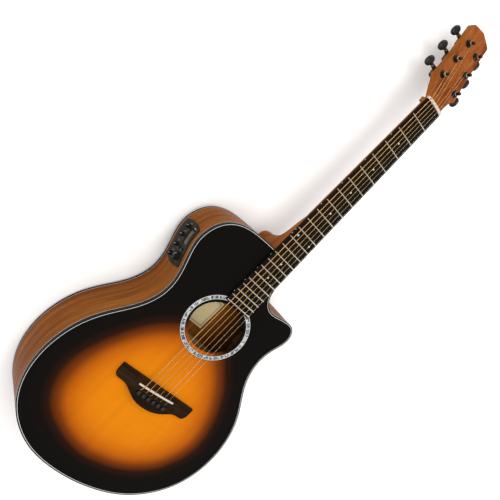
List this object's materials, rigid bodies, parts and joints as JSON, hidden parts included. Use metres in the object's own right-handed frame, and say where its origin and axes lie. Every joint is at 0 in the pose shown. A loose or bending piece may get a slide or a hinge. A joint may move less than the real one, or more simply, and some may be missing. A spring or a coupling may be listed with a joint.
{
  "type": "acoustic guitar",
  "caption": "Thin-bodied steel-string guitar with a cutaway, oval soundhole, sunburst top, side preamp, pinned bridge and geared tuners that turn.",
  "frame": {"origin": "centre of the footprint at the lowest point of the domed back, with the guitar lying on its back", "axes": "+Z out of the soundboard, +Y along the neck toward the headstock, +X toward the treble side with the cutaway"},
  "size_m": [0.3872, 1.034, 0.1095],
  "materials": {
    "back_binding": "polished black binding",
    "back_braces": "bare spruce",
    "back_lining": "bare basswood",
    "back_panel": "satin lacquered mahogany",
    "back_purfling": "white line",
    "bridge": "oiled rosewood",
    "bridge_pins": "polished black",
    "bridge_plate": "bare maple",
    "button_phase": "black push button",
    "button_tuner": "black push button",
    "endpin_jack": "black strap button and jack",
    "fretboard": "oiled dark rosewood",
    "frets": "polished nickel silver",
    "headstock_veneer": "satin lacquered mahogany veneer",
    "knob_bass": "black knob",
    "knob_middle": "black knob",
    "knob_presence": "black knob",
    "knob_treble": "black knob",
    "knob_volume": "black knob",
    "label": "blank cream paper",
    "neck": "satin lacquered mahogany",
    "neck_block": "bare hardwood",
    "nut": "cream moulded nut",
    "pickup": "flat under-saddle strip",
    "position_dots": "pearl dots",
    "preamp_case": "black moulding",
    "preamp_display": "smoked display window",
    "preamp_panel": "dark grey moulding",
    "rosette": "polished shell mosaic",
    "rosette_lines": "black inlay lines",
    "saddle": "cream moulded saddle",
    "side_bass": "satin lacquered mahogany",
    "side_treble": "satin lacquered mahogany",
    "soundboard": "satin sunburst lacquer on spruce, black at the rim",
    "strings_plain": "plain steel wire",
    "strings_wound": "bronze windings",
    "tail_block": "bare hardwood",
    "top_binding": "polished black binding",
    "top_braces": "bare spruce",
    "top_lining": "bare basswood",
    "top_purfling": "white lines",
    "truss_rod": "steel",
    "truss_rod_nut": "blackened steel",
    "tuner_bushings": "black washers and nuts",
    "tuner_housings": "black die-cast metal",
    "tuner_key_1": "black oval button",
    "tuner_key_2": "black oval button",
    "tuner_key_3": "black oval button",
    "tuner_key_4": "black oval button",
    "tuner_key_5": "black oval button",
    "tuner_key_6": "black oval button",
    "tuner_post_1": "black metal post",
    "tuner_post_2": "black metal post",
    "tuner_post_3": "black metal post",
    "tuner_post_4": "black metal post",
    "tuner_post_5": "black metal post",
    "tuner_post_6": "black metal post",
    "tuner_screws": "black screws",
    "tuner_washers": "pale brass washers"
  },
  "bodies": {
    "guitar": {"back_binding": "back_binding", "back_braces": "back_braces", "back_lining": "back_lining", "back_panel": "back_panel", "back_purfling": "back_purfling", "bridge": "bridge", "bridge_pins": "bridge_pins", "bridge_plate": "bridge_plate", "endpin_jack": "endpin_jack", "fretboard": "fretboard", "frets": "frets", "headstock_veneer": "headstock_veneer", "label": "label", "neck": "neck", "neck_block": "neck_block", "nut": "nut", "pickup": "pickup", "position_dots": "position_dots", "preamp_case": "preamp_case", "preamp_display": "preamp_display", "preamp_panel": "preamp_panel", "rosette": "rosette", "rosette_lines": "rosette_lines", "saddle": "saddle", "side_bass": "side_bass", "side_treble": "side_treble", "soundboard": "soundboard", "strings_plain": "strings_plain", "strings_wound": "strings_wound", "tail_block": "tail_block", "top_binding": "top_binding", "top_braces": "top_braces", "top_lining": "top_lining", "top_purfling": "top_purfling", "truss_rod": "truss_rod", "tuner_bushings": "tuner_bushings", "tuner_housings": "tuner_housings", "tuner_screws": "tuner_screws", "tuner_washers": "tuner_washers"},
    "post_1": {"tuner_post_1": "tuner_post_1"},
    "key_1": {"tuner_key_1": "tuner_key_1"},
    "post_2": {"tuner_post_2": "tuner_post_2"},
    "key_2": {"tuner_key_2": "tuner_key_2"},
    "post_3": {"tuner_post_3": "tuner_post_3"},
    "key_3": {"tuner_key_3": "tuner_key_3"},
    "post_4": {"tuner_post_4": "tuner_post_4"},
    "key_4": {"tuner_key_4": "tuner_key_4"},
    "post_5": {"tuner_post_5": "tuner_post_5"},
    "key_5": {"tuner_key_5": "tuner_key_5"},
    "post_6": {"tuner_post_6": "tuner_post_6"},
    "key_6": {"tuner_key_6": "tuner_key_6"},
    "knob_bass": {"knob_bass": "knob_bass"},
    "knob_middle": {"knob_middle": "knob_middle"},
    "knob_treble": {"knob_treble": "knob_treble"},
    "knob_presence": {"knob_presence": "knob_presence"},
    "knob_volume": {"knob_volume": "knob_volume"},
    "button_tuner": {"button_tuner": "button_tuner"},
    "button_phase": {"button_phase": "button_phase"},
    "truss_rod_nut": {"truss_rod_nut": "truss_rod_nut"}
  },
  "joints": [
    {"name": "key_1_turn", "type": "hinge", "parent": "guitar", "child": "key_1", "pos_m": [-0.0493, 0.39595, 0.06631], "axis": [-1, 0, 0], "continuous": true},
    {"name": "post_1_turn", "type": "hinge", "parent": "guitar", "child": "post_1", "pos_m": [-0.0229, 0.39339, 0.08499], "axis": [0, 0.2419, 0.9703], "continuous": true},
    {"name": "key_2_turn", "type": "hinge", "parent": "guitar", "child": "key_2", "pos_m": [-0.0456, 0.43641, 0.05622], "axis": [-1, 0, 0], "continuous": true},
    {"name": "post_2_turn", "type": "hinge", "parent": "guitar", "child": "post_2", "pos_m": [-0.0192, 0.43385, 0.0749], "axis": [0, 0.2419, 0.9703], "continuous": true},
    {"name": "key_3_turn", "type": "hinge", "parent": "guitar", "child": "key_3", "pos_m": [-0.0417, 0.47697, 0.04611], "axis": [-1, 0, 0], "continuous": true},
    {"name": "post_3_turn", "type": "hinge", "parent": "guitar", "child": "post_3", "pos_m": [-0.0153, 0.47441, 0.06478], "axis": [0, 0.2419, 0.9703], "continuous": true},
    {"name": "key_4_turn", "type": "hinge", "parent": "guitar", "child": "key_4", "pos_m": [0.0417, 0.47697, 0.04611], "axis": [1, 0, 0], "continuous": true},
    {"name": "post_4_turn", "type": "hinge", "parent": "guitar", "child": "post_4", "pos_m": [0.0153, 0.47441, 0.06478], "axis": [0, 0.2419, 0.9703], "continuous": true},
    {"name": "key_5_turn", "type": "hinge", "parent": "guitar", "child": "key_5", "pos_m": [0.0456, 0.43641, 0.05622], "axis": [1, 0, 0], "continuous": true},
    {"name": "post_5_turn", "type": "hinge", "parent": "guitar", "child": "post_5", "pos_m": [0.0192, 0.43385, 0.0749], "axis": [0, 0.2419, 0.9703], "continuous": true},
    {"name": "key_6_turn", "type": "hinge", "parent": "guitar", "child": "key_6", "pos_m": [0.0493, 0.39595, 0.06631], "axis": [1, 0, 0], "continuous": true},
    {"name": "post_6_turn", "type": "hinge", "parent": "guitar", "child": "post_6", "pos_m": [0.0229, 0.39339, 0.08499], "axis": [0, 0.2419, 0.9703], "continuous": true},
    {"name": "knob_bass_turn", "type": "hinge", "parent": "guitar", "child": "knob_bass", "pos_m": [-0.13912, -0.08726, 0.0485], "axis": [-0.9991, -0.0431, 0], "range_deg": [-145, 145]},
    {"name": "knob_middle_turn", "type": "hinge", "parent": "guitar", "child": "knob_middle", "pos_m": [-0.13665, -0.10252, 0.0475], "axis": [-0.9663, -0.2574, 0], "range_deg": [-145, 145]},
    {"name": "knob_treble_turn", "type": "hinge", "parent": "guitar", "child": "knob_treble", "pos_m": [-0.13091, -0.11943, 0.045], "axis": [-0.9321, -0.3622, 0], "range_deg": [-145, 145]},
    {"name": "knob_presence_turn", "type": "hinge", "parent": "guitar", "child": "knob_presence", "pos_m": [-0.12396, -0.13717, 0.04], "axis": [-0.9378, -0.3472, 0], "range_deg": [-145, 145]},
    {"name": "knob_volume_turn", "type": "hinge", "parent": "guitar", "child": "knob_volume", "pos_m": [-0.12608, -0.13161, 0.0645], "axis": [-0.9311, -0.3647, 0], "range_deg": [-145, 145]},
    {"name": "button_tuner_press", "type": "slide", "parent": "guitar", "child": "button_tuner", "axis": [0.9327, 0.3607, 0], "range_m": [0, 0.0008], "stiffness_N_per_m": 600, "springref_m": -0.0005},
    {"name": "button_phase_press", "type": "slide", "parent": "guitar", "child": "button_phase", "axis": [0.9316, 0.3635, 0], "range_m": [0, 0.0008], "stiffness_N_per_m": 600, "springref_m": -0.0005},
    {"name": "truss_rod_nut_turn", "type": "hinge", "parent": "guitar", "child": "truss_rod_nut", "pos_m": [0, -0.07381, 0.0909], "axis": [0, 1, 0], "range_deg": [-180, 180]}
  ],
  "couplings": [
    {"joint": "post_1_turn", "follows": "key_1_turn", "ratio": 0.0625},
    {"joint": "post_2_turn", "follows": "key_2_turn", "ratio": 0.0625},
    {"joint": "post_3_turn", "follows": "key_3_turn", "ratio": 0.0625},
    {"joint": "post_4_turn", "follows": "key_4_turn", "ratio": 0.0625},
    {"joint": "post_5_turn", "follows": "key_5_turn", "ratio": 0.0625},
    {"joint": "post_6_turn", "follows": "key_6_turn", "ratio": 0.0625}
  ]
}
